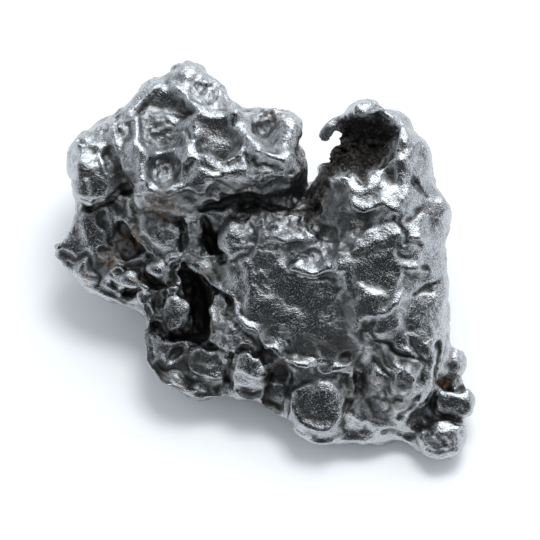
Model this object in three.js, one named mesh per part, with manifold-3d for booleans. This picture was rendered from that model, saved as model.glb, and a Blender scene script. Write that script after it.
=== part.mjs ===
// An iron meteorite: one lump of bare, tumbled nickel-iron, about 85 mm across.
//
// The stone is a single solid. Its show face is drawn in its own flat frame, the way a
// sculptor would draw it: u runs right, v runs up the face and w stands out of it. That
// face leans back, so on the ground it looks up at 60 degrees. Slabs are outlines with a
// front and a back, pebbles are ellipsoids and fingers are rods with round ends. They are
// blended into one skin, and hollows are taken out of it the same way.
// All sizes are in millimetres, and +Z is up.

import * as THREE from "three";
import { MarchingCubes } from "three/addons/objects/MarchingCubes.js";
import { SimplexNoise } from "three/addons/math/SimplexNoise.js";
import { mergeVertices } from "three/addons/utils/BufferGeometryUtils.js";
import Module from "manifold-3d";

const faceElevation = THREE.MathUtils.degToRad(60); // how far above level the show face looks
const faceOrigin = new THREE.Vector3(0, 0, 20); // where the face drawing's origin sits in the part
const gridSide = 95; // the cube that is sampled
const gridCells = 42;
const gridCentre = new THREE.Vector3(0, 2, 22);
const blend = 1.4; // how softly lumps run into each other
const hollowBlend = 1.0; // how softly a hollow's rim is rounded
const backInset = 0.03; // how fast a slab draws in behind its middle plane, per mm squared

// Slabs of the show face: mid is the middle plane's w, lean its slope per mm of u and v
// about the slab's own centre, and edge the radius of its rounded rim.
const slabs = {
  crown: {
    outline: [
      [-39, 15.6], [-39.4, 19], [-38.6, 22.4], [-37.8, 25.2], [-35.4, 26], [-33, 27.8],
      [-30.4, 30], [-27, 32.6], [-25, 35.4], [-20.4, 37.2], [-17.4, 39.4], [-15, 40],
      [-12.4, 39], [-10.2, 36.8], [-8.2, 35.6], [-7.4, 33], [-4.6, 29.6], [-0.6, 30.6],
      [3, 30.6], [5, 29.4], [7.6, 28], [7.4, 24], [7.6, 20], [8.4, 17.6], [7, 16],
      [4, 14.8], [-0.6, 14], [-6, 13.4], [-10, 11.8], [-13.4, 9.8], [-17.4, 8.6],
      [-22, 9.6], [-26, 11.6], [-28.6, 13.4], [-31.4, 12.6], [-34.6, 10.2],
      [-37, 11.4], [-38.2, 13.6],
    ],
    centre: [-14, 24], mid: -3, lean: [0.04, -0.45], front: 10.5, back: 13, edge: 7,
  },
  rightLobe: {
    outline: [
      [8.6, 6.8], [9.2, 11], [9.6, 14], [10.8, 16], [12.2, 18.4], [12.8, 21.6],
      [13.8, 23.6], [16, 25.4], [16.2, 28.4], [17, 30.6], [19.4, 31.6], [21.6, 31.8],
      [23.2, 30.8], [23.8, 28.8], [26, 28.6], [27.8, 27.6], [29, 25.4], [30.6, 23.8],
      [32.4, 22.8], [32.8, 20], [33.8, 16], [35.2, 12.2], [36.6, 11.4], [37, 9.4],
      [36.2, 5.6], [36, 1], [36.2, -4], [36.8, -6.6], [36.2, -11.2], [36.2, -16],
      [35, -21], [33.8, -26], [30, -30], [26, -29.6], [22, -28], [19.4, -25],
      [19, -20], [19, -15], [17.6, -11], [16.4, -7], [15.4, -3], [14, 0.4], [12, 4],
    ],
    centre: [25, 2], mid: -1, lean: [0, -0.06], front: 12, back: 15, edge: 6,
  },
  plate: {
    outline: [
      [-9.2, 3], [-8.6, 5.6], [-7, 7.8], [-4.6, 9.2], [-0.6, 9.6], [3.8, 9.4],
      [6.4, 10.8], [7.8, 10.8], [8.6, 7.2], [11, 5.6], [13, 2], [14.6, -1.6],
      [16, -5.6], [17, -10], [18.6, -14.4], [19.2, -19], [16, -21.2], [12, -20.8],
      [7.6, -21.2], [4.4, -19.8], [1.4, -17.4], [-1, -15.2], [-3.4, -12], [-5, -8.4],
      [-7, -4], [-8.6, -0.4],
    ],
    centre: [5, -6], mid: 4.5, lean: [0.04, -0.05], front: 6, back: 12, edge: 2.6,
  },
  apron: {
    outline: [
      [-16.6, 1.4], [-13, 2], [-9.4, 1.4], [-6.6, -1.6], [-3.8, -6], [-1.8, -10.4],
      [-0.6, -15], [-2.6, -13], [-4.2, -10.4], [-5.8, -9.8], [-7.2, -7.6], [-9.4, -5.6],
      [-11.6, -4], [-13.4, -2.4], [-15.4, -1.2],
    ],
    centre: [-8, -4], mid: 4, lean: [0.12, 0], front: 2.6, back: 3.5, edge: 1.6,
  },
  ledge: {
    outline: [[-12, -4], [-7, -7], [-4, -11], [0, -17], [-4, -19], [-10, -18], [-10.8, -11]],
    centre: [-7, -12], mid: -1, lean: [0.2, 0], front: 4, back: 8, edge: 1.6,
  },
  toe: {
    outline: [
      [-23.6, -12.8], [-22, -13.4], [-20, -15], [-16, -16.6], [-11, -17], [-7.4, -17],
      [-4, -16.6], [-0.6, -17], [3, -18.4], [7, -19.6], [12, -19.8], [16, -20.4],
      [19.4, -22], [24, -25], [29, -27.4], [31, -33], [30.4, -37.2], [27, -36.2],
      [23, -35.8], [19.4, -34.8], [16, -35.8], [12.6, -36.8], [9.4, -36], [7, -33.4],
      [5.4, -31.4], [2, -30.4], [-2, -28], [-6, -27.2], [-10.6, -27.4], [-14, -27.8],
      [-17, -26.2], [-20, -24], [-22, -22], [-23.2, -18.4], [-23.8, -15.2],
    ],
    centre: [2, -26], mid: 0, lean: [0.03, 0.12], front: 4, back: 4.5, edge: 2.6,
  },
  leftShelf: {
    outline: [
      [-42.6, 2.8], [-41, 4], [-39.8, 4.4], [-39.2, 6.4], [-38.2, 8], [-38.4, 9.8],
      [-37, 10.8], [-35, 10.2], [-32.6, 9.2], [-30, 7.4], [-27, 6], [-25.4, 3],
      [-23, -0.4], [-22, -5], [-20, -8], [-18.6, -13.2], [-21, -13.2], [-23.4, -11.4],
      [-25.4, -10], [-28.6, -9.4], [-31, -8.2], [-33.4, -6.4], [-35.4, -5.6],
      [-37.2, -5.4], [-38.4, -3.2], [-40, -1.2], [-42, 0.6],
    ],
    centre: [-32, 1], mid: -2, lean: [0.1, 0.05], front: 4, back: 6, edge: 2.4,
  },
  tongue: {
    outline: [
      [-27.4, 9.8], [-23, 9], [-18.6, 8.2], [-17.2, 6.4], [-17.2, 3], [-18.6, 0.8],
      [-21, 0.4], [-23.4, 2.4], [-25.6, 4.6],
    ],
    centre: [-21, 5], mid: 1, lean: [0.1, 0.1], front: 5.5, back: 8, edge: 2.2,
  },
  throat: {
    outline: [[-22, 10], [-8, 13], [-7, 2], [-9, -8], [-13, -18], [-22, -13], [-22, 0]],
    centre: [-13, 0], mid: -6, lean: [0, 0.25], front: 5, back: 7, edge: 2,
  },
};

// Pebbles of the show face: at [u, v, w] with radii along u, v, w, and turn in degrees
// about w.
const pebbles = [
  { at: [19.6, 29.2, -5], radii: [3.7, 2.7, 4], turn: 5 }, // cap of the right lobe's top
  { at: [26.5, 26.5, -2], radii: [4, 2.4, 5], turn: -35 }, // shoulder beside it
  { at: [31.2, 21.6, -6], radii: [1.9, 3, 3], turn: 10 }, // bead on the right shoulder
  { at: [35.6, 9.4, -5], radii: [1.7, 2.4, 3], turn: 8 }, // bead on the right wall
  { at: [35.9, -14.5, -5], radii: [2.2, 3.4, 3], turn: 0 }, // blister low on the right wall
  { at: [35.8, -20.6, -1], radii: [4, 4.8, 5], turn: 18 }, // boss above the right knobs
  { at: [37.6, -28.3, 2], radii: [5.2, 3, 4], turn: 8 }, // upper right knob
  { at: [34.8, -35.2, 2], radii: [5.2, 4.6, 4.6], turn: 25 }, // lower right knob
  { at: [32.5, -30.5, 1], radii: [4.5, 4.5, 4], turn: 0 }, // web behind the knobs
  { at: [-19, -10, -3], radii: [4.5, 5.5, 4.5], turn: 0 }, // backing of the fingers
  { at: [10.8, -28.4, 2.5], radii: [5.6, 7.4, 5.5], turn: -15 }, // bulge under the plate
  { at: [-3.6, -22.4, 2.4], radii: [3.9, 4.6, 3.6], turn: 10 }, // third pad of the toe
  { at: [-11.6, -20.4, 2.6], radii: [4.3, 3.2, 2.8], turn: -8 }, // second pad of the toe
  { at: [-21.2, -1.7, 2.6], radii: [2.9, 2.7, 3], turn: 0 }, // round knob at the left
  { at: [-36.4, 23.6, -4], radii: [2.6, 2.8, 3.5], turn: 0 }, // bead at the crown's left
  { at: [-33, 17, 0], radii: [5.4, 5.8, 6.6], turn: 0 }, // cheek of the crown
  { at: [-8, 19, 2], radii: [14, 6.5, 11], turn: 4 }, // brow of the crown
  { at: [26, 6, 2], radii: [7, 12, 11.5], turn: -6 }, // breast of the right lobe
  { at: [27, -20, 2], radii: [6, 9, 7.5], turn: 12 }, // hip of the right lobe
];

// Fingers and hooks: rods along points [u, v, w] that share one radius.
const fingers = [
  { path: [[-29.6, -4.3, 1], [-24.6, -3.6, 2]], radius: 1.7 }, // lying finger at the left
  { path: [[-18, -8, 2], [-17, -10.6, 2.6]], radius: 2.3 }, // hanging finger
  { path: [[-19.5, 1, 2.5], [-17.5, 0.8, 3.5]], radius: 1.6 }, // neck of the round knob
  { path: [[16.5, 27.4, -6], [13.6, 26.4, -6], [12.8, 24.6, -6]], radius: 1.25 }, // hook
  { path: [[-20.8, -5.4, 0], [-19.8, -11.6, 0]], radius: 1.2 }, // rib by the hanging finger
];

// The bulk behind the face, at [x, y, z] with radii along x, y, z.
const bulk = [
  { at: [-14, 16, 20], radii: [22, 18, 15] }, // under the crown
  { at: [21, 2, 17], radii: [14, 24, 15.5] }, // under the right lobe
  { at: [4, -7, 14], radii: [18, 18, 12] }, // under the plate
  { at: [-14, 16.5, 13], radii: [14, 14.5, 14] }, // back left foot
  { at: [19, 17, 11.5], radii: [12, 12, 12.5] }, // back right foot
  { at: [-9, -6, 8.5], radii: [13, 12, 9.5] }, // foot behind the toe
  { at: [20, -27, 5.5], radii: [13, 6, 6.5] }, // front foot
  { at: [2, 7, 12], radii: [18, 13, 10] }, // belly between them
];

// Hollows in the show face: rods of the given radius along points [u, v, w].
const hollows = [
  { path: [[9.2, 34, -8], [11.2, 24, -2], [10.2, 16, 4]], radius: 2.2 }, // notch, upper part
  { path: [[9.8, 30, -30], [10.6, 22, -20], [10, 15.5, -8]], radius: 2.2 }, // notch, behind
  { path: [[11.4, 22, 8], [10.2, 12, 12], [9, 7.4, 14]], radius: 1.8 }, // channel below the notch
  {
    path: [[-12.8, -4.6, 5], [-12.6, -9, 1], [-12.6, -13.6, 1.5], [-12.8, -14, 5]],
    radius: 2.4, // deep cavity
  },
  { path: [[-31.5, 4, 4], [-28, 1.8, 3], [-25.6, 3.4, 4]], radius: 2 }, // pocket in the left shelf
  { path: [[-28.6, -6.8, 3], [-25.4, -6.4, 3]], radius: 1.4 }, // hole under the lying finger
  { path: [[-10.8, 6.4, 5], [-10.4, 1.6, 5]], radius: 1.8 }, // slot beside the plate
  { path: [[-10, 10.4, 8], [-2, 11.8, 10], [6, 12.8, 10]], radius: 1.7 }, // crack under the crown
  { path: [[0.5, -18.4, 9], [4.5, -21.2, 9], [8.6, -22, 9]], radius: 1.5 }, // crack under the plate
  { path: [[2.4, -23, 7], [3, -22.4, 7]], radius: 2.6 }, // pocket beside the bulge
  { path: [[-17.4, -18.6, 5], [-18.6, -18.8, 5]], radius: 2 }, // first pad's dish
];

// The scoop at the top of the right lobe: ellipsoids that are taken out of it.
const scoops = [
  { at: [20.8, 23.2, 8], radii: [5.8, 6.4, 11], turn: -20 },
  { at: [15.5, 20, 8], radii: [3, 6, 11], turn: -25 },
];

// Relief of the show face: a ridge, or a groove or dish where rise is below zero, along
// points [u, v]. Width is how far it reaches to each side.
const relief = [
  { path: [[-20.2, 18.8], [-20, 17.6]], width: 4.4, rise: -2.4 }, // the crown's round pit
  { path: [[-9.8, 24.8], [-9.2, 23.6]], width: 5, rise: -1.6 }, // its shallow dish
  { path: [[0, 25], [1, 23.4]], width: 4, rise: -3 }, // bowl of its right ear
  { path: [[-22.6, 27.6], [-22, 25.6]], width: 3.4, rise: -1.6 }, // rough pit, upper left
  { path: [[-12, 34], [-11, 31.8]], width: 3.4, rise: -1.4 }, // rough pit near its peak
  { path: [[-30.6, 28], [-29.6, 27]], width: 3, rise: -1.4 }, // pit on its left shoulder
  { path: [[-20.2, 32], [-19.6, 29.6]], width: 4, rise: -1 }, // its dark facet
  { path: [[-32.4, 21.4], [-29, 17.4], [-28.6, 13.4]], width: 2.4, rise: -2 }, // groove by the cheek
  { path: [[-27.6, 29], [-26.2, 24], [-23.8, 18], [-21, 12.6]], width: 3, rise: 1.6 }, // rib left of it
  { path: [[-14.4, 30.6], [-14, 22.6], [-14.4, 17]], width: 2.2, rise: 1.3 }, // rib right of it
  { path: [[-12.6, 28.8], [-5.6, 27.8], [-4.6, 24.4], [-1.4, 20.6]], width: 2.6, rise: 1.3 }, // dish's rim
  { path: [[-1.4, 20.6], [2, 20.4], [5.6, 24], [6.4, 27.6]], width: 2.6, rise: 1.6 }, // rim of the ear
  { path: [[5, -2], [14, -2.4]], width: 2.6, rise: 1.2 }, // step across the plate
  { path: [[-2, 2], [8, 1.6]], width: 2.4, rise: -1 }, // dip above the step
  {
    path: [[11.4, 7.6], [15, -0.4], [16.6, -6], [18.6, -10.4], [19.2, -16], [19.6, -31]],
    width: 2.2, rise: -2.4, // groove right of the plate
  },
  { path: [[18, 10.8], [23, 10.8], [27.4, 12.4]], width: 2.8, rise: 1.6 }, // right lobe's first terrace
  { path: [[18, 7.6], [24, 7.8], [28, 8.6]], width: 2.2, rise: -1 }, // the dip below it
  { path: [[19.4, 3.4], [23, 5], [27, 6.6]], width: 2.4, rise: 1.2 }, // second terrace
  { path: [[19.4, -0.4], [26, -1.6], [30.6, -2.4]], width: 2.4, rise: 1.2 }, // third terrace
  { path: [[20, -4.2], [27, -4.2]], width: 2, rise: -0.8 }, // the dip below it
  { path: [[18.2, -9], [23.8, -7], [28.6, -7]], width: 2.4, rise: 1.2 }, // fourth terrace
  { path: [[26.2, 25], [27, 19.4], [28.6, 14]], width: 2.6, rise: 1.3 }, // rib beside the scoop
  { path: [[28.4, -8.2], [33.4, -5.4]], width: 1.8, rise: -1.6 }, // crease in the right wall
  { path: [[20, -15.6], [22.6, -18.4], [25.4, -21.6]], width: 2, rise: -1.6 }, // fold low in the lobe
  { path: [[21, -22], [22, -25]], width: 2.6, rise: -1.4 }, // pit below the fold
  { path: [[24, -31], [29, -31.6]], width: 2.2, rise: -1.6 }, // gap by the knobs
];

// Thumbprints all over the back and the underside, as sizes of two layers of noise.
const backRelief = [
  { spacing: 13, rise: 2.4 },
  { spacing: 6.5, rise: 1.1 },
];

const noise = new SimplexNoise({ random: seededRandom(7) });
const stoneFinish = new THREE.MeshStandardMaterial({
  color: 0x7d8287,
  roughness: 0.34,
  metalness: 1,
});

// The same run of numbers each time, for the noise table.
function seededRandom(seed) {
  let state = seed;
  return () => {
    state = (state * 16807) % 2147483647;
    return state / 2147483647;
  };
}

// A part point in the frame of the show face.
const acrossFace = new THREE.Vector3(0, Math.sin(faceElevation), Math.cos(faceElevation));
const outOfFace = new THREE.Vector3(0, -Math.cos(faceElevation), Math.sin(faceElevation));
function toFace(point) {
  const from = point.clone().sub(faceOrigin);
  return [from.x, from.dot(acrossFace), from.dot(outOfFace)];
}

function smoothUnion(a, b, softness) {
  const near = Math.max(softness - Math.abs(a - b), 0) / softness;
  return Math.min(a, b) - (near * near * softness) / 4;
}

function smoothCut(a, hollow, softness) {
  return -smoothUnion(-a, hollow, softness);
}

// Distance from an outline, below zero inside it.
function outlineDistance(outline, u, v) {
  let nearest = Infinity;
  let inside = false;
  for (let i = 0, j = outline.length - 1; i < outline.length; j = i++) {
    const [ax, ay] = outline[i];
    const [bx, by] = outline[j];
    const along = ((u - ax) * (bx - ax) + (v - ay) * (by - ay)) / ((bx - ax) ** 2 + (by - ay) ** 2);
    const t = Math.min(Math.max(along, 0), 1);
    nearest = Math.min(nearest, Math.hypot(u - ax - t * (bx - ax), v - ay - t * (by - ay)));
    if (ay > v !== by > v && u < ((bx - ax) * (v - ay)) / (by - ay) + ax) inside = !inside;
  }
  return inside ? -nearest : nearest;
}

function slabDistance(slab, [u, v, w]) {
  const mid = slab.mid + slab.lean[0] * (u - slab.centre[0]) + slab.lean[1] * (v - slab.centre[1]);
  const off = w - mid;
  const inset = backInset * Math.min(off + 2, 0) ** 2;
  const beyondRim = outlineDistance(slab.outline, u, v) + slab.edge + inset;
  const beyondFace = Math.abs(off) - (off > 0 ? slab.front : slab.back) + slab.edge;
  const outer = Math.hypot(Math.max(beyondRim, 0), Math.max(beyondFace, 0));
  return Math.min(Math.max(beyondRim, beyondFace), 0) + outer - slab.edge;
}

function pebbleDistance({ at, radii, turn = 0 }, [a, b, c]) {
  const angle = THREE.MathUtils.degToRad(turn);
  const da = a - at[0];
  const db = b - at[1];
  const p = [
    da * Math.cos(angle) + db * Math.sin(angle),
    db * Math.cos(angle) - da * Math.sin(angle),
    c - at[2],
  ];
  const unit = Math.hypot(p[0] / radii[0], p[1] / radii[1], p[2] / radii[2]);
  const slope = Math.hypot(p[0] / radii[0] ** 2, p[1] / radii[1] ** 2, p[2] / radii[2] ** 2);
  return slope > 0 ? (unit * (unit - 1)) / slope : -Math.min(...radii);
}

function rodDistance({ path, radius }, point) {
  let nearest = Infinity;
  for (let i = 1; i < path.length; i++) {
    const run = path[i].map((value, k) => value - path[i - 1][k]);
    const from = path[i - 1].map((value, k) => point[k] - value);
    const length2 = run.reduce((sum, value) => sum + value * value, 0);
    const along = from.reduce((sum, value, k) => sum + value * run[k], 0) / length2;
    const t = Math.min(Math.max(along, 0), 1);
    nearest = Math.min(nearest, Math.hypot(...from.map((value, k) => value - t * run[k])));
  }
  return nearest - radius;
}

// How far the relief lifts the show face at a place on it.
function reliefHeight(u, v) {
  let height = 0;
  for (const { path, width, rise } of relief) {
    const away = rodDistance({ path, radius: 0 }, [u, v]) / width;
    if (away < 1) height += rise * (1 - away * away) ** 2;
  }
  return height;
}

// How far the thumbprints move the skin at a point, fading out towards the show face.
function backHeight(point, [, v, w]) {
  const share = THREE.MathUtils.smoothstep(-w - 0.3 * Math.max(v, 0), 3, 11);
  if (share === 0) return 0;
  let height = 0;
  for (const { spacing, rise } of backRelief)
    height += rise * noise.noise3d(point.x / spacing, point.y / spacing, point.z / spacing);
  return share * height;
}

// Distance from the stone's skin, below zero inside the metal.
function stoneDistance(point) {
  const face = toFace(point);
  const raised = [face[0], face[1], face[2] - reliefHeight(face[0], face[1])];
  let skin = Infinity;
  for (const slab of Object.values(slabs)) skin = smoothUnion(skin, slabDistance(slab, raised), blend);
  for (const pebble of pebbles) skin = smoothUnion(skin, pebbleDistance(pebble, raised), blend);
  for (const lump of bulk) skin = smoothUnion(skin, pebbleDistance(lump, point.toArray()), blend);
  skin -= backHeight(point, face);
  for (const scoop of scoops) skin = smoothCut(skin, pebbleDistance(scoop, face), hollowBlend);
  for (const finger of fingers) skin = smoothUnion(skin, rodDistance(finger, face), blend / 2);
  for (const hollow of hollows) skin = smoothCut(skin, rodDistance(hollow, face), hollowBlend);
  return skin;
}

// Samples the skin on a grid and walks it into triangles.
function skinGeometry() {
  const cells = new MarchingCubes(gridCells, stoneFinish, false, false, 40000);
  cells.isolation = 0;
  const pitch = gridSide / gridCells;
  const leastValue = pitch * 0.06; // keeps corners off the grid points, where triangles collapse
  const point = new THREE.Vector3();
  for (let z = 0; z < gridCells; z++)
    for (let y = 0; y < gridCells; y++)
      for (let x = 0; x < gridCells; x++) {
        point.set(x, y, z).multiplyScalar(pitch).subScalar(gridSide / 2).add(gridCentre);
        const inside = -stoneDistance(point);
        const clear = Math.max(Math.abs(inside), leastValue);
        cells.setCell(x, y, z, inside < 0 ? -clear : clear);
      }
  cells.update();
  const corners = cells.geometry.getAttribute("position").array.slice(0, cells.count * 3);
  const skin = new THREE.BufferGeometry();
  skin.setAttribute("position", new THREE.BufferAttribute(corners, 3));
  skin.scale(gridSide / 2, gridSide / 2, gridSide / 2);
  skin.translate(gridCentre.x, gridCentre.y, gridCentre.z);
  return mergeVertices(skin, 1e-3);
}

const wasm = await Module();
wasm.setup();

function toSolid(geometry) {
  const bare = geometry.clone();
  bare.deleteAttribute("normal");
  bare.deleteAttribute("uv");
  const merged = mergeVertices(bare, 1e-4);
  return new wasm.Manifold(
    new wasm.Mesh({
      numProp: 3,
      vertProperties: new Float32Array(merged.getAttribute("position").array),
      triVerts: new Uint32Array(merged.index.array),
    }),
  );
}

function toGeometry(solid) {
  const mesh = solid.getMesh();
  return new THREE.BufferGeometry()
    .setAttribute("position", new THREE.BufferAttribute(mesh.vertProperties, mesh.numProp))
    .setIndex(new THREE.BufferAttribute(mesh.triVerts, 1));
}

// The stone rests on flats worn into its lowest lumps.
const ground = new THREE.BoxGeometry(gridSide, gridSide, 20).translate(0, 0, -10);
const stone = toSolid(skinGeometry()).subtract(toSolid(ground));

// The origin is put under the middle of the stone, on the ground.
const stoneGeometry = toGeometry(stone);
stoneGeometry.computeBoundingBox();
const middle = stoneGeometry.boundingBox.getCenter(new THREE.Vector3());
stoneGeometry.translate(-middle.x, -middle.y, 0);

const meteorite = new THREE.Mesh(stoneGeometry, stoneFinish);
meteorite.name = "meteorite";
const part = new THREE.Group();
part.add(meteorite);

export default part;
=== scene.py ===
import math

import bpy
import numpy as np
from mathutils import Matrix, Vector, noise
from mathutils.bvhtree import BVHTree


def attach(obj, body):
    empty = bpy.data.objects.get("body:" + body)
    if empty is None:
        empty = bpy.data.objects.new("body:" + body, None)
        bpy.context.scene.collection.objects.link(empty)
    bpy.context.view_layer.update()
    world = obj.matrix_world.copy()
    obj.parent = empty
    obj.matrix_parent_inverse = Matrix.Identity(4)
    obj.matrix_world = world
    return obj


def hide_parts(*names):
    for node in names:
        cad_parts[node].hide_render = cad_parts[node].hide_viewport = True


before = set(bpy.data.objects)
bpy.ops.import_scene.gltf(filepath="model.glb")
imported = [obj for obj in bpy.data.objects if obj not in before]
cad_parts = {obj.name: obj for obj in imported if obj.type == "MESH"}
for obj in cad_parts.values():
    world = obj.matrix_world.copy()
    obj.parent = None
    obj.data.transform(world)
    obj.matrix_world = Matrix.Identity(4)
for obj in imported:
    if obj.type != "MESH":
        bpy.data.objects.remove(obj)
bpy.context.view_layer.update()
noise.seed_set(4)  # without it, the swirl of the lumps changes with the clock

# Lengths in the tables below are millimetres. The show face is worked in its own flat
# frame, as in the solid: u runs right, v runs up the face and w stands out of it.
mm = 0.001
face = {
    "elevation": 60,  # degrees above level that the show face looks
    "origin": (-0.08, -2.94, 20),  # where u, v and w are zero, in the part
}
tilt = math.radians(face["elevation"])
faceOrigin = np.array(face["origin"], float)
acrossFace = np.array((0, math.sin(tilt), math.cos(tilt)))
outOfFace = np.array((0, -math.cos(tilt), math.sin(tilt)))


def toFace(points):
    away = points / mm - faceOrigin
    return np.stack((away[:, 0], away @ acrossFace, away @ outOfFace), axis=1)


def fromFace(u, v, w):
    place = faceOrigin + np.array((u, 0, 0)) + v * acrossFace + w * outOfFace
    return Vector(place * mm)


camera = {
    "aim": (1, -2, 0),  # the point of the show face at the middle of the picture
    "distance": 900,
    "lens": 300,
    "sensor": 36,
}


def addCamera():
    data = bpy.data.cameras.new("camera")
    data.lens = camera["lens"]
    data.sensor_width = camera["sensor"]
    data.clip_end = 20
    eye = bpy.data.objects.new("camera", data)
    bpy.context.scene.collection.objects.link(eye)
    u, v, w = camera["aim"]
    eye.location = fromFace(u, v, w + camera["distance"])
    eye.rotation_euler = Vector(outOfFace).to_track_quat("Z", "Y").to_euler()
    bpy.context.scene.camera = eye


addCamera()
print("camera set")

stone = {
    "weld": 0.001,  # points of the solid that are this close are one
    "solidVoxel": 1.0,  # of the solid's copy, before the clay goes on
    "voxel": 0.42,
    "triangles": 194000,  # what is left after thinning
    "thinning": (0.3, 0.65, 1.0),  # how freely the face, its sides and the back thin out
    "roundings": 3,  # how often the faceted solid is smoothed
    "swell": 0.25,  # makes up for what the smoothing takes off
    "steady": (6, 4),  # rounds that even out the normals, for the face and for the wear
    "shoulder": {  # rims are filled out to sharper edges
        "rise": 0.5,
        "lowRise": 2.8,  # the same along the lower left edge
        "lowLine": (-8, 0.25, -20),  # v of that edge's line, its slope, and u where v is given
        "lowBlend": 6,
        "lowRight": (24, 8),  # u where that edge ends, and how wide it blends
        "facing": ((0, 0.35), (0.4, 0.5)),  # fades in, then out, as a rim faces the viewer
        "aim": (0.9, 0.1),  # share of the move out of the face, and along the normal
    },
    "waver": {"cell": 3.6, "reach": 1.5, "fineCell": 1.3, "fineReach": 0.3},  # of every stroke
    "strokeAim": (0.5, 0.5),
    # a facet begins this far outside its outline, is centred where its mask is over core,
    # moves no point further than most, and leaves what lies deeper than deep
    "facet": {"out": 0.4, "core": 0.3, "most": 4.4, "deep": 7},
    "ledge": {"fade": (-0.3, 0.6), "crease": 0.45, "creaseWidth": 0.7, "creaseReach": 1.6},
    "lineFall": 1.5,  # how sharp ridges and ledges are
    "domeFall": (2.4, 1.1),  # how full the top and the foot of a shape are
    "padFall": (4.0, 0.9),
    "dishFall": (2.4, 1.4),
    "dishRim": (1.1, 0.28),  # where the rim stands and how wide it is, in radii
    "hollowOut": 0.12,
    "digEdge": (-0.2, 1.1),
    "digFacing": (-0.1, 0.3),
    # hammered lumps, all over and behind: cell, rise, swirl, the level that is even, and a shift
    "lumps": [(5.4, 0.12, 3.0, 0.6, 6), (2.8, 0.03, 1.8, 0.6, 5)],
    "backLumps": [(10.0, 1.3, 4.0, 0.7, 10), (4.4, 0.22, 2.4, 0.6, 8)],
    # uneven tumbling, at several sizes at once, and how much less of it these places get
    "wear": {"cell": 6.5, "rise": 0.6, "scoop": 0.6, "behind": 0.3, "calm": 0.4},
    "grit": {"cell": 1.0, "rise": 0.8, "behind": 0.3},  # in the rough places only
    "fibre": {"cell": 1.5, "rise": 1.3, "stretch": (0.55, 1, 1.3)},  # in the scoop only
}

# Clay put on before the mesh is closed over it: chains of balls at (u, v, w), with a radius.
clay = [
    ([(11.2, -31.6, 1.4)], 5),
    ([(17, 28.2, -5.5), (14.4, 27.6, -5), (12.8, 26.4, -4.5), (12, 24.8, -4.5)], 0.95),
    ([(-29.8, -2.6, 2), (-27.4, -3.4, 3), (-24.4, -4.6, 3.4)], 1.5), ([(-21.2, -1.6, 3.6)], 2.5),
    ([(-19.4, 1.2, 3), (-17.2, -0.2, 4)], 1.3),
    ([(-18.6, -4.8, 2.8), (-17.5, -10.2, 3.8), (-16.9, -12.2, 3.6)], 2.4),
    ([(-24, -5.8, 2.2), (-22.8, -11, 2.6)], 1.3), ([(-21.6, -5.6, 2.4), (-20.6, -11.4, 2.4)], 1),
    ([(-18.4, -0.6, 4.4)], 1.9), ([(-41.4, 2.6, -3), (-40, 3.4, -2.6)], 1.1),
    ([(37.6, -28.2, 3.4), (39.4, -28.4, 2.8)], 2.7), ([(34.4, -35.4, 3.2)], 4.2),
    ([(37.2, -20.6, 1.2)], 3), ([(10.8, -28.4, 4.2), (12.2, -26.4, 3.8)], 5.4),
    ([(-3.4, -21.8, 4), (-2.8, -24.4, 3.2)], 3.4),
    ([(-12.6, -20.2, 3.6), (-9.8, -20.6, 3.8)], 2.6),
    ([(-22.2, -15.4, 3), (-21.6, -19.6, 3), (-19, -22.8, 3), (-14, -24.4, 3)], 1.5),
    ([(19.4, 30, -4.6), (21.4, 30.2, -4.2)], 2.2), ([(26.4, 27, -3)], 2.2),
    ([(-13.6, 36.2, -9), (-17, 36.8, -9)], 3.1),
]

# Before that, the stone is pushed aside here, which leaves the gap under the hook.
pinched = {"at": (13.2, 24.4), "radius": 3.0, "move": 2.0}  # to the right


def smooth(x):
    x = np.clip(x, 0, 1)
    return x * x * (3 - 2 * x)


def fade(x, start, span):
    return smooth((x - start) / span)


def only(piece):
    bpy.ops.object.select_all(action="DESELECT")
    piece.select_set(True)
    bpy.context.view_layer.objects.active = piece


def applied(piece, kind, **settings):
    modifier = piece.modifiers.new(kind.lower(), kind)
    for name, value in settings.items():
        setattr(modifier, name, value)
    only(piece)
    bpy.ops.object.modifier_apply(modifier=modifier.name)


def addBall(u, v, w, radius):
    place = fromFace(u, v, w)
    bpy.ops.mesh.primitive_ico_sphere_add(subdivisions=3, radius=radius * mm, location=place)
    return bpy.context.active_object


def addClay():
    balls = []
    for path, radius in clay:
        path = np.array(path, float)
        places = [path[0]]
        for start, end in zip(path[:-1], path[1:]):
            gap = radius * 0.4  # close enough for the balls to run into each other
            steps = max(1, math.ceil(np.linalg.norm(end - start) / gap))
            places += [start + (end - start) * step / steps for step in range(1, steps + 1)]
        balls += [addBall(*place, radius) for place in places]
    return balls


def pinch(mesh):
    points, _, _ = meshArrays(mesh)
    u, v, _ = toFace(points).T
    away = np.hypot(u - pinched["at"][0], v - pinched["at"][1]) / pinched["radius"]
    points[:, 0] += smooth(1.3 - 1.3 * away) * mm * pinched["move"]
    setPoints(mesh, points)


def roughStone():
    piece = bpy.data.objects.new("meteoriteStone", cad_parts["meteorite"].data.copy())
    bpy.context.scene.collection.objects.link(piece)
    piece.data.materials.clear()
    only(piece)
    bpy.ops.object.mode_set(mode="EDIT")
    bpy.ops.mesh.select_all(action="SELECT")
    bpy.ops.mesh.remove_doubles(threshold=stone["weld"] * mm)
    bpy.ops.object.mode_set(mode="OBJECT")
    applied(piece, "REMESH", mode="VOXEL", voxel_size=stone["solidVoxel"] * mm)
    applied(piece, "SMOOTH", factor=0.5, iterations=stone["roundings"])
    pinch(piece.data)
    balls = addClay()
    only(piece)
    for ball in balls:
        ball.select_set(True)
    bpy.ops.object.join()
    applied(piece, "REMESH", mode="VOXEL", voxel_size=stone["voxel"] * mm)
    applied(piece, "SMOOTH", factor=0.5, iterations=stone["roundings"])
    return piece


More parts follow.
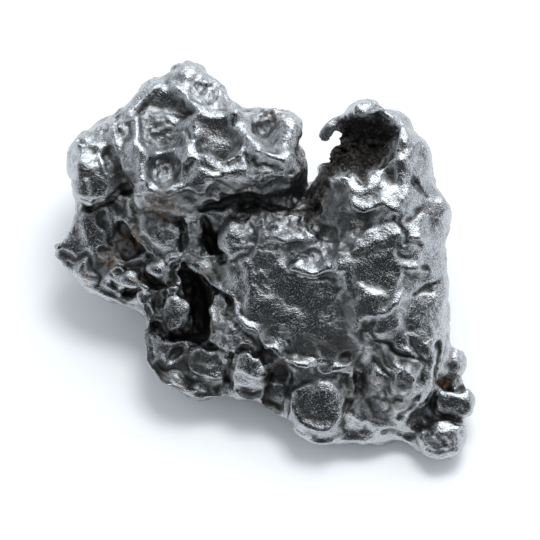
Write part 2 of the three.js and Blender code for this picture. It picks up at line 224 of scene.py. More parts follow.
def meshArrays(mesh):
    points = np.empty(len(mesh.vertices) * 3)
    mesh.vertices.foreach_get("co", points)
    normals = np.empty(len(mesh.vertices) * 3)
    mesh.vertices.foreach_get("normal", normals)
    edges = np.empty(len(mesh.edges) * 2, int)
    mesh.edges.foreach_get("vertices", edges)
    return points.reshape(-1, 3), normals.reshape(-1, 3), edges.reshape(-1, 2)


def setPoints(mesh, points):
    mesh.vertices.foreach_set("co", points.ravel())
    mesh.update()


def relaxed(values, edges, rounds):
    values = values.reshape(len(values), -1).astype(float)
    first, second = edges[:, 0], edges[:, 1]
    size = len(values)
    count = np.bincount(first, minlength=size) + np.bincount(second, minlength=size)
    for _ in range(rounds):
        sums = [
            np.bincount(first, weights=column[second], minlength=size)
            + np.bincount(second, weights=column[first], minlength=size)
            for column in values.T
        ]
        values = (values + np.stack(sums, axis=1) / count[:, None]) / 2
    return values


# Facets: the patch inside an outline is pressed flat: outline, how fast w rises per mm of u
# and of v, how far below the patch's middle it lies, how wide it blends, how far it goes.
facets = [
    # the dark slope under the top
    ([(-20.4, 35.4), (-15.2, 32), (-13.8, 28.6), (-17, 27.6), (-25, 29), (-26.2, 30.6)],
     (0.04, 0.12), 1.9, 2, 0.85),
    # the rough floor below it
    ([(-24.8, 29.6), (-16.4, 29.2), (-16.4, 24.6), (-18.6, 22.2), (-22, 22.2), (-24.8, 24.8)],
     (0.05, -0.2), 1.3, 1.8, 0.85),
    # the shallow dish of the crown
    ([(-13.8, 29.4), (-6, 29.6), (-3.8, 26.4), (-4.4, 21.8), (-9, 20.2), (-13.8, 21.4)],
     (0, 0.1), 0.3, 2.4, 0.95),
    # the bright flank left of the rough floor
    ([(-31.6, 28), (-26.4, 28.8), (-24.2, 22), (-22.2, 15), (-26.2, 14.6), (-30.4, 21)],
     (0.15, -0.6), -0.5, 1.6, 0.85),
    # the nose at the crown's right
    ([(-5, 21.2), (1, 20.4), (5.6, 21.2), (7.2, 18), (6, 16.2), (-3, 16.4)], (0, -0.6), -0.4, 1.6,
     0.85),
    # the cheek, left of the crown
    ([(-38, 24), (-31, 23), (-28.8, 15.6), (-31, 11.6), (-37.6, 12)], (0.1, -0.1), -0.2, 3, 0.7),
    # the saddle under the scoop
    ([(14, 16.4), (19, 14.6), (25, 19), (27.6, 13), (26.8, 10), (20, 9), (16, 9.6)], (0.04, -0.6),
     -0.6, 1.8, 1),
    ([(27, 9), (31.6, 11), (32, 3.4), (27.4, 2.6)], (-0.1, -0.55), 0, 1.8, 0.85),
    # the tooth left of the saddle
    ([(12.4, 15.4), (16.2, 16.8), (17, 12.6), (16.4, 9), (13, 9.4)], (0.25, -0.1), -0.4, 1.4, 0.9),
    # the streaky flank low on the right lobe
    ([(20, -14.6), (28.6, -15.6), (30, -25), (25, -23.4)], (0.12, 0.05), 0.1, 2, 0.9),
    # the steps down the right lobe, a bright one and a dark one in turn
    ([(16.6, 3.4), (20.2, 6.6), (26.8, 9.8), (27.4, 5.6), (23, 2.6), (17.4, 0.8)], (0.12, -0.6),
     -0.4, 1.6, 0.85),
    ([(26.2, 1.8), (31.4, 2.2), (31.4, -2.6), (26.4, -2)], (0, -0.55), -0.4, 1.6, 0.85),
    ([(15.6, 2), (26.6, 3.2), (27.6, -5), (24, -7), (19, -6.4), (15.6, -8)], (0.04, 0.02), 0, 2.2,
     0.8),
    ([(20, -8.8), (27.4, -5.8), (27.8, -9), (20.6, -11.6)], (0.12, -0.5), -0.3, 1.5, 0.85),
    ([(18, -10.4), (27.4, -10.2), (27, -14.4), (18.6, -14.6)], (0, 0.1), 0.1, 1.8, 0.85),
    ([(5.4, 0.6), (14.8, 0.8), (15, -2.8), (5.8, -2.8)], (0, -0.62), -0.9, 1.2, 0.85),
    ([(-3, 8.6), (9.8, 9.6), (10.6, 3.4), (4, 2.2), (-2.6, 3)], (0, -0.65), -0.3, 2, 0.85),
    # the streak down the plate's left
    ([(-5.6, 0.4), (-3.4, -0.4), (-1, -6.4), (-2.8, -7.2), (-5.4, -3)], (0.35, -0.4), 0, 1.6,
     0.85),
    # the plate's smooth lower half
    ([(-5, 2.6), (-1, 4.4), (4, 3.8), (5.6, -2.4), (15, -3.2), (18, -8), (18.6, -16.6),
      (18.6, -23.6), (14.6, -24.2), (10, -21.6), (4, -19.4), (-1, -15.6), (-5, -9.6)],
     (0.03, 0.04), 0, 3, 0.7),
    # the apron under the plate
    ([(8.6, -19.4), (18.6, -18.6), (19, -24.8), (11, -24)], (0, 0.3), 0.2, 2, 1),
    # the shallow valley between the plate and the right lobe
    ([(13.4, 1.6), (18, 2), (18.6, -7), (15, -7)], (0.05, 0), -0.8, 1.8, 1),
    # the crown's lower edge
    ([(-22, 13.4), (-15, 14.6), (-7, 15.6), (0, 15.8), (7, 16.4), (7.4, 14.6), (0, 13.4),
      (-8, 12.6), (-16, 10.8), (-22, 10.2)], (0, 0.15), -0.8, 1.8, 0.8),
    # the bottom lump
    ([(6, -23), (15.4, -22.4), (17, -28), (14.4, -35), (9, -36), (5, -30)], (0.04, 0.2), -0.2, 4,
     0.6),
    ([(-15.4, -18.4), (-8.6, -18), (-8, -22), (-13.6, -22.8)], (0, 0.15), 0, 1.2, 0.85),
    ([(34.4, -26), (41, -26), (41.4, -29.4), (38.4, -31), (34.4, -30.4)], (0.1, 0.2), 0, 1.8,
     0.85),
    ([(31.6, -33.4), (38.8, -33), (38.4, -38), (33, -38.4)], (0, 0.16), 0, 1.6, 0.85),
    ([(-15, 22), (-15.5, 19), (-11, 15.4), (-3, 16.2), (-2, 19.6), (-7, 21)], (0.05, -0.35), 0,
     2.4, 0.85),
]

# Where the tumbling left the metal smoother.
calmPlaces = [
    [(-20.4, 36), (-14, 32), (-12, 28), (-4, 28), (-4, 21), (-13.6, 22), (-15, 27.6), (-26, 29)],
    [(6, -23), (15.6, -23), (16, -31), (12, -36), (6, -34)],
    [(16, 3), (26, 3), (27, -5), (22, -14), (17, -14)],
    [(15, 15), (25, 16), (26, 9), (17, 9)],
]

# Domes: at (u, v), radii, turn in degrees, rise. Pads are the same with flat tops.
domes = [
    # crown
    ((-15, 38), (3.6, 2.6), 0, 1), ((-23, 35), (4.6, 1.8), 27, 0.8),
    ((-26, 22.4), (2.2, 4.4), 22, 1.1), ((-35, 18.6), (2.2, 1.8), 20, 0.8),
    ((-31.6, 19), (1.2, 2.4), 35, 0.6), ((-37, 24.4), (2.2, 2.3), 0, 0.9),
    ((-33, 27), (2.8, 1.8), 30, 0.6), ((-12, 15.2), (5.4, 2.4), 8, 0.8),
    ((-2, 17.6), (6.4, 2.6), 5, 0.8), ((0.6, 29.6), (3.8, 1.3), 5, 0.6),
    ((-7.6, 32), (2.2, 2.8), -40, 0.7), ((-22, 5), (5, 3.4), -15, 1.2),
    ((-23, 11), (4.2, 1.8), -10, 0.7), ((-8, 13.6), (3.2, 1.2), 20, 0.6),
    ((2, 13.6), (3.4, 1.2), 0, 0.6),
    # left shelf and its fingers
    ((-41, 2.4), (1.9, 1.8), 0, 0.8), ((-34, 5), (4.6, 4.8), 0, 0.7),
    ((-36, -2), (2.4, 2.7), 0, 0.9), ((-32, -2.4), (1.6, 2.2), 0, 0.6),
    ((-28.2, 0.4), (1.3, 1.1), 0, 0.9), ((-25, 0.8), (2.4, 2.6), -30, 0.7),
    ((-18.8, 0.6), (1.8, 1.3), 0, 1.1), ((-21.2, -2), (2.7, 2.5), 0, 1),
    ((-27.4, -3.8), (3.8, 1.7), 5, 1), ((-23, -6), (1.5, 1.3), 0, 0.8),
    ((-18, -5.2), (2.3, 1.3), 0, 0.7), ((-22, -9.6), (0.9, 3.2), 10, 0.7),
    # throat, apron
    ((-14, 4.4), (2.3, 3.2), 0, 1.1), ((-13, 1), (3.2, 0.9), 0, 0.7),
    ((-9.6, -4.6), (5.2, 1.7), -43, 0.7), ((-7.8, -15), (2.6, 4.4), 15, 0.9),
    # plate
    ((-6.2, 4.4), (3.7, 4.4), 0, 1.4), ((2, 7), (3.8, 2.6), 0, 0.9),
    ((8, 9), (1.1, 2.8), -10, 1.1), ((9.4, 4), (2.4, 2.6), 0, 0.8),
    # right lobe
    ((20, 30), (3.5, 1.9), 0, 0.9), ((26, 27), (2.3, 1.7), -30, 0.8),
    ((28.6, 23), (2, 4), 10, 0.8), ((31.2, 22), (1.8, 2.4), 10, 0.8),
    ((35.6, 10.6), (1.7, 2.1), 0, 0.8), ((22, -23), (1.6, 2.6), 0, 0.8),
    ((27, -24), (2.8, 3.2), 0, 1), ((33, -18), (1.6, 6.5), 0, 0.6),
    ((15.2, 14.2), (2.8, 3.4), 0, 0.8), ((5, 26), (2.8, 3.8), 0, 1.8),
    ((-10.4, 19.8), (3.6, 2), 10, 0.7),
    # boss, knobs and what lies between them
    ((37, -21), (2.9, 4.2), 10, 1.1), ((31.6, -34.6), (1.4, 1.7), 0, 0.7),
    ((31, -29), (2.1, 2.1), 0, 0.8), ((27, -31), (2.6, 2.1), 0, 0.8),
    # bottom and toe
    ((11, -29.4), (7.4, 9), -8, 1.6), ((18.4, -26), (2.4, 3.6), 0, 1.2),
    ((18.6, -30), (2.4, 3.8), 0, 0.9), ((22, -33), (3.6, 1.9), -10, 0.8),
    ((3, -29), (4.4, 3.6), -25, 0.9), ((-6.8, -25.6), (1.7, 1.4), 0, 0.7),
]

pads = [
    ((-17.2, -10.2), (2.7, 4.6), 5, 1.3), ((-2.6, -21.6), (3.4, 4.4), 0, 1.5),
    ((-11.8, -20.4), (4.2, 3.2), -5, 1.2), ((38, -28.6), (4.8, 3.2), -5, 1.4),
    ((35.8, -36), (5, 4.4), 10, 1.4),
]

# Ridges, or creases where rise is below zero, along (u, v): path, width, rise.
ridges = [
    # crown
    ([(-26.4, 28.6), (-25, 24), (-23.8, 19), (-22.8, 14.6), (-20, 12.4), (-17.2, 13.6)], 1.8, 0.6),
    ([(-15.4, 31), (-14, 28.6), (-13.6, 24.6)], 1.4, 0.8),
    ([(-13.4, 29.8), (-10, 29.8), (-6.2, 29.4)], 1.8, 0.6),
    ([(-6.2, 29.4), (-4, 27.2), (-3, 24), (-0.6, 21), (3, 19.6)], 2.4, 1.5),
    ([(2, 20), (5.4, 22)], 1.8, 0.9), ([(-16.2, 24), (-15.8, 20), (-16.2, 17)], 1.5, 0.6),
    ([(-9.4, 33.8), (-9.6, 30.4)], 0.8, 0.9), ([(-21, 34.2), (-23, 32.8), (-25.4, 31)], 0.9, 0.6),
    ([(-18.4, 35), (-15.6, 33.4), (-14.6, 31)], 0.9, 0.7),
    ([(-25.8, 29.2), (-23.6, 30), (-20.8, 29.4)], 0.8, 0.5),
    ([(-36.6, 20.8), (-36.4, 16), (-35.4, 12.6)], 1, 0.5),
    ([(-31, 20.4), (-28.8, 17), (-28.4, 13.6)], 1.6, -0.8),
    ([(-37, 11.4), (-34.6, 9.4), (-32.2, 11.4), (-29, 13), (-27.4, 13.8)], 0.9, -1.6),
    ([(-29, 14), (-26.6, 12), (-26.2, 9.6)], 0.7, -1.1),
    ([(-38.6, 22), (-36.2, 22.2), (-33.8, 21.6)], 0.6, -0.5),
    ([(-31.4, 30.2), (-29.4, 29.2), (-27, 29.4)], 0.7, -0.7),
    ([(-30.4, 27.6), (-29, 24.6)], 0.6, -0.6),
    ([(-11.4, 35), (-9, 34.8), (-7.6, 35.6)], 0.6, -0.7),
    ([(-10, 15.2), (-5, 14.4), (0, 14.8), (7, 15.4)], 0.7, -1),
    ([(-13, 9.4), (-8, 12), (-3, 11.2), (3, 10.4), (9.4, 9.6)], 1.4, -2),
    ([(-25, 9.6), (-20, 8.6), (-17, 7.2)], 0.7, -1), ([(-17, 7.2), (-16.8, 2.4)], 0.9, -1.6),
    ([(-22, 12.4), (-18, 10.4), (-13, 9.8)], 0.7, -0.8),
    ([(-4, 19.4), (0, 20), (5, 19)], 0.8, 0.5),
    # left shelf and its fingers
    ([(-28.4, 8.2), (-25.6, 5), (-22.4, 1.2)], 0.8, 1.1),
    ([(-28.8, 6.6), (-26.2, 3.6), (-23.4, 0.4)], 0.7, -1.4),
    ([(-26.6, 8.6), (-24.2, 5.6), (-21.4, 2)], 0.5, -0.8), ([(-41.6, 0.5), (-38.8, 0.3)], 0.5, -1),
    ([(-39.2, 6), (-37.6, 3.6)], 0.45, -0.5), ([(-38.4, 6.4), (-36.8, 4)], 0.45, -0.5),
    ([(-37.6, 6.8), (-36, 4.6)], 0.45, -0.5), ([(-33.2, 9), (-31.6, 6), (-30.6, 2.8)], 0.7, -0.9),
    ([(-34.6, -0.6), (-33.6, -3), (-34.2, -5.2)], 0.6, -1),
    ([(-38.6, 0.2), (-36, 1.6), (-34.6, -0.6)], 0.6, -0.7),
    ([(-24, -0.4), (-23.9, -3), (-21.4, -4.8), (-19, -3.8), (-18.3, -1)], 0.7, -1.5),
    ([(-30.8, -5), (-29, -6.1), (-24.6, -6)], 0.7, -1.8),
    ([(-30.6, -2), (-27, -1.6), (-24.4, -1.8)], 0.6, -1),
    ([(-19.9, -5.6), (-19.8, -10), (-18.4, -14.2), (-15.8, -14.9), (-14.3, -13), (-14.6, -8)], 0.7,
     -1.8),
    ([(-20, -6.9), (-15.6, -6.6)], 0.6, -0.8), ([(-21.2, -6), (-20.8, -11.8)], 0.5, -0.9),
    ([(-23.2, -7.6), (-22.8, -11.2)], 0.5, -0.8),
    ([(-33, -5.4), (-28, -8), (-24, -9.8)], 0.5, -0.8),
    ([(-31.4, -6.6), (-27, -9.2), (-23, -11.8)], 0.5, -0.7),
    # throat, apron and plate
    ([(-12.2, 7), (-11, 4), (-9.8, 1.2)], 1.3, -2.4),
    ([(-16.4, -1.2), (-13.6, -2.9), (-11, -5.1), (-8.6, -6.8), (-7, -9)], 0.7, -1.2),
    ([(-11.6, -6.6), (-9, -7.4), (-7.4, -9.2)], 0.5, 0.5),
    ([(-7.4, -10.4), (-5, -13.6), (-2.6, -15.7), (1, -18.1), (4, -20.1), (7, -21.1)], 0.6, -1),
    ([(-5, -7.6), (-4.2, -11.4), (-1.6, -15), (1.2, -17.4), (4.4, -19.4), (8, -20.4)], 0.6, 0.5),
    ([(-2.6, -11.6), (-0.4, -14.6)], 0.4, -0.6),
    ([(-8.8, 0.6), (-5.6, -0.2), (-3, 1.2)], 0.7, -0.7),
    ([(-3.6, 8.6), (-2, 6.2), (-2.4, 4)], 0.5, -0.9),
    ([(0.6, 8.6), (1.4, 6.4), (2.4, 4.4)], 0.5, -0.9),
    ([(4.2, 9.4), (5, 6.8), (6.6, 5.4)], 0.5, -0.9), ([(6.4, 8.4), (7.2, 6)], 0.5, -0.8),
    ([(9.6, 10.6), (9.4, 6.6), (10.6, 5.2)], 0.6, -1),
    ([(11.6, 7.4), (13.6, 7.2), (14.9, 5), (14.2, 2)], 0.6, 0.5),
    # right lobe
    ([(13, 17.6), (15, 18.4), (17.6, 16.8), (19.6, 15.8), (22, 17.4), (24.2, 19.6), (26, 24.4)], 1,
     0.9),
    ([(19.5, 16.4), (19.3, 14.8)], 0.5, -0.9), ([(26.6, 7.4), (27.2, 5.4), (28, 3.6)], 0.6, -0.8),
    ([(27.8, 3.4), (30.8, 3.2)], 0.6, -0.8), ([(28.9, -7.4), (31.4, -6), (34.2, -3.8)], 0.7, -1),
    ([(31, -7), (33.2, -5.8)], 0.5, -0.8), ([(30, 15.8), (30.8, 14.4), (32, 12.4)], 0.6, -1),
    ([(28.2, 22), (28.8, 20.8)], 0.4, -0.7),
    ([(18.8, -14.8), (20.6, -13.8), (22.6, -15)], 0.5, -1),
    ([(22, -16.2), (26, -18.2), (30, -19.6)], 0.7, -1.2),
    ([(22.6, -18.2), (24.2, -20.8), (26.8, -22)], 0.6, 0.8),
    ([(20.6, -15.4), (24, -17.2), (28.4, -18.2)], 0.8, 0.8),
    ([(25.4, -19.6), (27.6, -21.6), (29.4, -24.2)], 0.7, 0.7),
    ([(21.4, -18.8), (23.4, -21.8), (25.2, -23)], 0.6, -1),
    ([(19.2, -12), (19.3, -17), (19.5, -24)], 0.8, -0.7),
    ([(29.4, -16), (30.6, -20), (30.4, -24)], 0.7, -0.9),
    ([(21, -27.4), (24, -27.6), (27, -28)], 0.7, -1),
    ([(23.4, -25), (25, -28.4), (24.4, -31)], 0.6, 0.6),
    ([(13.2, 15.6), (15.2, 17), (17.2, 16.2), (18.6, 14.6)], 2.2, 0.6),
    ([(20.6, 14.2), (22.4, 16.6), (24.8, 19.2)], 2.2, 0.6),
    # boss, knobs and bottom
    ([(34.2, -16.6), (34.2, -21), (34.3, -25)], 0.6, -1.4),
    ([(34.4, -25.2), (37, -25.4), (40, -25.2)], 0.7, -1.4),
    ([(33.8, -25.6), (33.2, -28), (34, -30.6)], 0.6, -0.8),
    ([(33, -31.5), (37, -32), (40.8, -31.8)], 0.7, -1.1),
    ([(29.8, -33.6), (32.4, -32.8), (32.4, -35)], 0.6, -1),
    ([(26, -30.4), (29, -29), (31, -27.4)], 0.6, -1),
    ([(23, -33.8), (27, -34.8), (30, -35.2)], 0.5, -0.9),
    ([(5, -22.4), (5.4, -27), (6, -32)], 0.8, -0.7),
    ([(16.2, -22.6), (16.2, -28), (15.6, -33.4)], 0.7, -0.6),
    ([(11.4, -22), (13, -22), (15, -23.4)], 0.9, 0.9),
    ([(17.4, -24), (17.8, -29), (18.4, -33)], 0.5, 0.5),
    ([(-7.6, -19.6), (-4.4, -17.5), (-0.6, -17.9), (0.4, -21), (0.2, -25.4)], 0.7, -1.4),
    ([(-7.4, -18.4), (-7.2, -23.4)], 0.6, -1.4), ([(-15.4, -17.6), (-15.4, -22.4)], 0.6, -1.1),
    ([(-15, -17.6), (-11, -17), (-7.8, -18.2)], 0.6, -1.1),
    ([(-23, -13), (-20, -14.9), (-16, -16.2), (-10, -16.9)], 1, -1.6),
    ([(-23.4, -13.8), (-22.8, -18), (-21, -22), (-18, -24.6), (-14, -26), (-10, -25.8)], 1.2, 1),
    ([(-16, -23), (-12, -24), (-8.4, -23)], 0.9, 0.8),
    ([(-20, -21), (-17, -23), (-14, -24.8)], 0.6, -0.9),
    ([(-17.8, -25.4), (-14, -26.8), (-9, -26.9), (-5, -26.6)], 0.5, -0.9),
]

# Ledges: the left side of the path, along (u, v), stands higher: path, rise, reach.
ledges = [
    ([(6, -2.6), (10.6, -3), (15, -2.8)], 0.9, 2.4), ([(-3.2, 3), (2, 2.4), (7, 3.4)], 0.4, 3),
    ([(-24, 12.2), (-16, 13.2), (-8.8, 14.6), (-1, 15), (6.4, 16.6)], 1, 4),
    ([(-16.6, -0.2), (-15, -1.4), (-13.2, -2.2), (-11, -4.2), (-9, -5.6), (-7, -7.4), (-6, -9.6)],
     1.3, 3),
    ([(-5.4, -10), (-3.6, -12.6), (-1.8, -15), (0, -16.8), (2, -18.4), (5, -20), (8, -20.8)], 0.8,
     1.6),
]

# Dishes: at (u, v), radii, turn in degrees, depth, and the height of the rim round it.
dishes = [
    ((-9.4, 20), (2, 1.3), 0, 0.5, 0.1), ((-15, 18.4), (0.9, 1.3), 0, 0.5, 0.1),
    ((-12.6, 34.6), (1.2, 0.9), 20, 0.5, 0.1), ((-13.4, 31.8), (1.1, 0.7), -30, 0.5, 0.1),
    ((-10.6, 32), (0.9, 1.2), 0, 0.5, 0.1), ((-31.2, 18.4), (0.9, 2), 39, 0.7, 0.3),
    ((-36.2, 23.4), (1, 0.8), 0, 1.3, 0.1), ((-16.8, 38.8), (0.6, 0.5), 0, 0.6, 0),
    ((-31.4, 1.2), (2.2, 1.2), 0, 1.4, 0.1), ((-29.4, 11), (3, 2), -20, 1.4, 0),
    ((29.4, -14), (1.4, 1.6), 0, 0.4, 0.2), ((31.6, -1.6), (1, 1.1), 0, 0.8, 0.1),
    ((21, -12.6), (1.6, 1.3), 0, 0.5, 0), ((-17.8, -18.6), (2, 1.4), -5, 1, 0.2),
    ((-11.4, -19.8), (2.6, 1.4), -8, 0.4, 0.1), ((2.6, -21.6), (2, 2.4), 20, 1.4, 0.1),
    ((-2, 22.6), (0.8, 1.4), -40, 0.4, 0), ((4.8, -16.4), (0.8, 1.2), 20, 0.4, 0.1),
    ((10.6, -17.8), (0.9, 1.2), -10, 0.4, 0.1),
]

# Hollows: an outline, how deep its middle lies and how wide its slope is.
hollows = [
    ([(-31, 29.8), (-28.6, 29.4), (-28.8, 26.8), (-31, 27.4)], 0.9, 1.6),
    ([(-22, 21.4), (-23.6, 18.4), (-23.2, 15.4), (-21, 13), (-18.6, 13.6), (-17, 16.4),
      (-17.4, 19.6), (-19.4, 21.2)], 1.1, 2.8),
    ([(-2.8, 28.8), (2.6, 28.4), (2.2, 25), (0.2, 22.4), (-1.4, 24.4)], 1.6, 2.6),
    ([(-3, 30), (3, 30.2), (3.6, 28), (-2.6, 27.6)], 0.6, 1.4),
    ([(-15.6, 35.2), (-12, 35.8), (-9.6, 34), (-10.4, 31), (-13, 30), (-15, 32)], 0.5, 1.6),
    ([(-30, 7.6), (-25.4, 5.6), (-25, 2), (-27.4, -0.4), (-29.8, 1), (-31.4, 4)], 2.2, 1.8),
    ([(11, 7), (14.6, 7), (15, 3), (11.4, 3.4)], 1, 1.8),
]

# Deep places that are dug out of the face: outline and depth.
digs = [
    ([(-14.2, -3), (-11, -7), (-10.6, -12), (-10.8, -15.4), (-14.4, -16.6), (-17, -15.6),
      (-14.8, -12), (-15.2, -7)], 4),
    ([(16, 28.4), (24, 28), (26.2, 26.4), (25, 23.6), (24.2, 20.8), (22.4, 18.8), (20.6, 17.4),
      (19.4, 15.6), (18.2, 17), (16.6, 18.2), (14, 18.2), (13.6, 21), (14.6, 24)], 1.8),
    ([(15, 27.8), (18.4, 28), (18.6, 25.8), (16.8, 24.2), (14.8, 24.6)], 2),
    ([(-29, -5.4), (-25, -5.8), (-25.4, -7.6), (-29, -7.6)], 1.4),
]

# Round places, at (u, v), with a radius and a strength: rough, sparkling metal.
roughPlaces = [
    ((0, 12), 7, 0.8), ((18, -24), 3, 0.6), ((-20.2, 17.4), 3.4, 1), ((-18.6, 25.6), 3.4, 0.7),
    ((-22.6, 27.2), 3.2, 0.9), ((-12.8, 33.4), 3, 0.8), ((-30.6, 27.6), 3.4, 0.8),
    ((0.4, 28), 4, 0.9), ((-20, 10.4), 6, 0.5), ((-14.6, 3.6), 4, 1), ((-28, 3), 5, 0.7),
    ((-7.6, -14.6), 4, 0.9), ((4.6, -14.6), 2.4, 0.6), ((12.6, -11), 2.8, 0.6), ((9, -6), 2, 0.4),
    ((-1, -4), 2.4, 0.5), ((0, 6), 6, 0.7), ((8, 6), 6, 0.7), ((2.6, -21.6), 3.4, 0.9),
    ((24, -28), 3, 0.4), ((34.6, -37), 4, 0.5), ((19, 24), 8, 0.4),
]

# Outlines of the black oxide, and of the darkest depths, which get the darkest painted shade.
oxidePlaces = [
    [
        (16, 28.6), (24, 28.2), (26.4, 26.4), (25.4, 23.6), (24.2, 20.6), (22.2, 18.4),
        (20.6, 17.2), (19.4, 15), (18.2, 16.6), (16.6, 17.8), (14.8, 17.8), (13.4, 16.2),
        (12.4, 13.4), (10.6, 9.4), (8.2, 7), (7.6, 10), (9.4, 14), (11, 18), (12.8, 22), (14.6, 25),
    ],
]
deepShadePlaces = [
    [(-14.4, -2.6), (-11, -6.6), (-10, -12), (-10.4, -15.6), (-15, -17), (-18, -16), (-15, -12),
     (-15.8, -7)],
    [(-12.8, 7.2), (-10, 7), (-9, 1), (-11, 1)],
    [(14, 28.4), (18.6, 28), (18, 24.4), (15, 24.6)],
]
# Round places, at (u, v), with a radius and a strength, darkened less than those: partly dirt in
# the grain, partly painted shade.
dirtAndShadePlaces = [
    ((17.2, -9), 2.8, 1), ((17.8, -14), 3, 1), ((16.6, -19), 3, 1), ((13.4, -16.4), 3, 1),
    ((-9, -2), 2.6, 1), ((-21, 18.4), 2.4, 1), ((-21.6, 27.4), 2.6, 1), ((-27.6, 15.4), 2.4, 1),
    ((-19, 11.6), 3.2, 1), ((-13, 11.8), 2.6, 1), ((0, 11.6), 4, 1), ((6, 12), 3.4, 1),
    ((-11.6, 5), 3.4, 1), ((18, -26), 3.4, 1), ((22, -28), 4, 1), ((27, -27), 3, 1),
    ((28.6, -20), 2.2, 1), ((-28, 3), 3.4, 1), ((-33, -2), 2.4, 1), ((14.6, 3), 2.6, 1),
    ((13.6, 7.4), 2.6, 1), ((14, 12.6), 2.8, 1), ((-14.6, -21), 3, 1), ((23, -19), 2.4, 1),
    ((8.6, -17), 2.4, 1), ((-22, 9), 3.4, 1), ((-6, 12.6), 3, 1),
]
rustPlaces = [
    ((-35.6, -3.2), 1.2, 1), ((-24.4, -3.8), 1, 1), ((35.8, -24.2), 1.6, 1),
    ((25, 18.6), 0.7, 1), ((2, 30), 2.2, 1), ((3, -20.6), 1.6, 1), ((-20.4, 11), 3, 1),
    ((7.6, 20), 1.6, 1), ((-27, 4), 2.6, 1), ((-31, 0), 2, 1), ((22, -24), 1.6, 1),
    ((-12, -2.6), 1.2, 1),
]


def pathDistance(path, u, v):
    nearest = np.full(u.shape, np.inf)
    side = np.zeros(u.shape)
    for (au, av), (bu, bv) in zip(path[:-1], path[1:]):
        ru, rv = bu - au, bv - av
        along = np.clip(((u - au) * ru + (v - av) * rv) / (ru * ru + rv * rv), 0, 1)
        du, dv = u - au - along * ru, v - av - along * rv
        distance = np.hypot(du, dv)
        closer = distance < nearest
        nearest = np.where(closer, distance, nearest)
        side = np.where(closer, np.sign(ru * dv - rv * du), side)
    return nearest, side


def ovalDistance(at, radii, turn, u, v):
    angle = math.radians(turn)
    du, dv = u - at[0], v - at[1]
    along = (du * math.cos(angle) + dv * math.sin(angle)) / radii[0]
    up = (dv * math.cos(angle) - du * math.sin(angle)) / radii[1]
    return np.hypot(along, up)


def insideDistance(outline, u, v):
    closed = list(outline) + [outline[0]]
    nearest, _ = pathDistance(closed, u, v)
    inside = np.zeros(u.shape, bool)
    for (au, av), (bu, bv) in zip(closed[:-1], closed[1:]):
        crosses = (av > v) != (bv > v)
        inside ^= crosses & (u < (bu - au) * (v - av) / ((bv - av) or 1e-9) + au)
    return np.where(inside, nearest, -nearest)


def noiseField(points, cell, shift, octaves=1, stretch=(1, 1, 1), fading=0.8):
    places = points / cell * np.array(stretch) + np.array(shift)
    return np.array([noise.fractal(place, fading, 2.1, octaves) for place in places.tolist()])


def bulgeField(points, cell, warp, shift):
    places = points / cell
    swirl = [noise.noise_vector((place * 0.6 + np.array(shift)).tolist()) for place in places]
    places = places + np.array(swirl) * (warp / cell)
    near = [noise.voronoi(place)[0] for place in places.tolist()]
    return smooth(np.array([distances[1] - distances[0] for distances in near]) / 0.55)


def faceWeight(normals):
    return fade(normals @ outOfFace, 0.02, 0.4)


def aimed(normals, aim):
    return aim[0] * outOfFace + aim[1] * normals


def placeMask(outlines, u, v, out, slope):
    mask = np.zeros(len(u))
    for outline in outlines:
        mask = np.maximum(mask, fade(insideDistance(outline, u, v), -out, slope))
    return mask


# Round places that are full up to reach - 1, in radii, and gone at reach.
def spots(places, u, v, reach):
    mask = np.zeros(len(u))
    for at, radius, strength in places:
        away = np.hypot(u - at[0], v - at[1]) / radius
        mask = np.maximum(mask, strength * smooth(reach - away))
    return mask


def wavered(points, u, v):
    small = points / mm
    waver = stone["waver"]
    u = u + waver["reach"] * noiseField(small, waver["cell"], (1, 6, 2))
    v = v + waver["reach"] * noiseField(small, waver["cell"], (7, 3, 5))
    u = u + waver["fineReach"] * noiseField(small, waver["fineCell"], (4, 4, 9))
    v = v + waver["fineReach"] * noiseField(small, waver["fineCell"], (8, 2, 6))
    return u, v


def filledOut(points, normals, u, v):
    shoulder = stone["shoulder"]
    facing = normals @ outOfFace
    fadeIn, fadeOut = shoulder["facing"]
    rim = fade(facing, *fadeIn) * (1 - fade(facing, *fadeOut))
    lineV, lean, lineU = shoulder["lowLine"]
    right, rightBlend = shoulder["lowRight"]
    low = smooth((lineV - v + lean * (u - lineU)) / shoulder["lowBlend"])
    low = low * smooth((right - u) / rightBlend)
    rise = shoulder["rise"] * (1 - low) + shoulder["lowRise"] * low
    return points + (rim * rise * mm)[:, None] * aimed(normals, shoulder["aim"])


# Facets are pressed one after another, each on what the ones before it left.
def pressFacets(u, v, w, weight):
    lift = np.zeros(len(u))
    limits = stone["facet"]
    for outline, (slopeU, slopeV), sink, edge, share in facets:
        mask = fade(insideDistance(outline, u, v), -limits["out"], edge) * weight
        core = mask > limits["core"]
        if not core.any():
            continue
        now = w + lift
        middle = np.median(now[core])
        overU, overV = u - u[core].mean(), v - v[core].mean()
        plane = middle - sink + slopeU * overU + slopeV * overV
        move = np.clip(plane - now, -limits["most"], limits["most"])
        lift += share * mask * move * (np.abs(now - middle) < limits["deep"])
    return lift


def drawLines(u, v, weight, lift):
    fall, ledge = stone["lineFall"], stone["ledge"]
    for path, width, rise in ridges:
        distance, _ = pathDistance(path, u, v)
        lift += rise * np.clip(1 - (distance / width) ** 2, 0, 1) ** fall * weight

    wide, far = ledge["creaseWidth"], ledge["creaseReach"]
    for path, rise, reach in ledges:
        distance, side = pathDistance(path, u, v)
        signed = distance * side
        slope = np.clip(1 - np.maximum(signed, 0) / reach, 0, 1) ** fall
        high = fade(signed, *ledge["fade"]) * slope * (distance < reach)
        crease = np.clip(1 - ((signed + wide) / wide) ** 2, 0, 1) * (distance < far)
        lift += (rise * high - ledge["crease"] * abs(rise) * crease) * weight


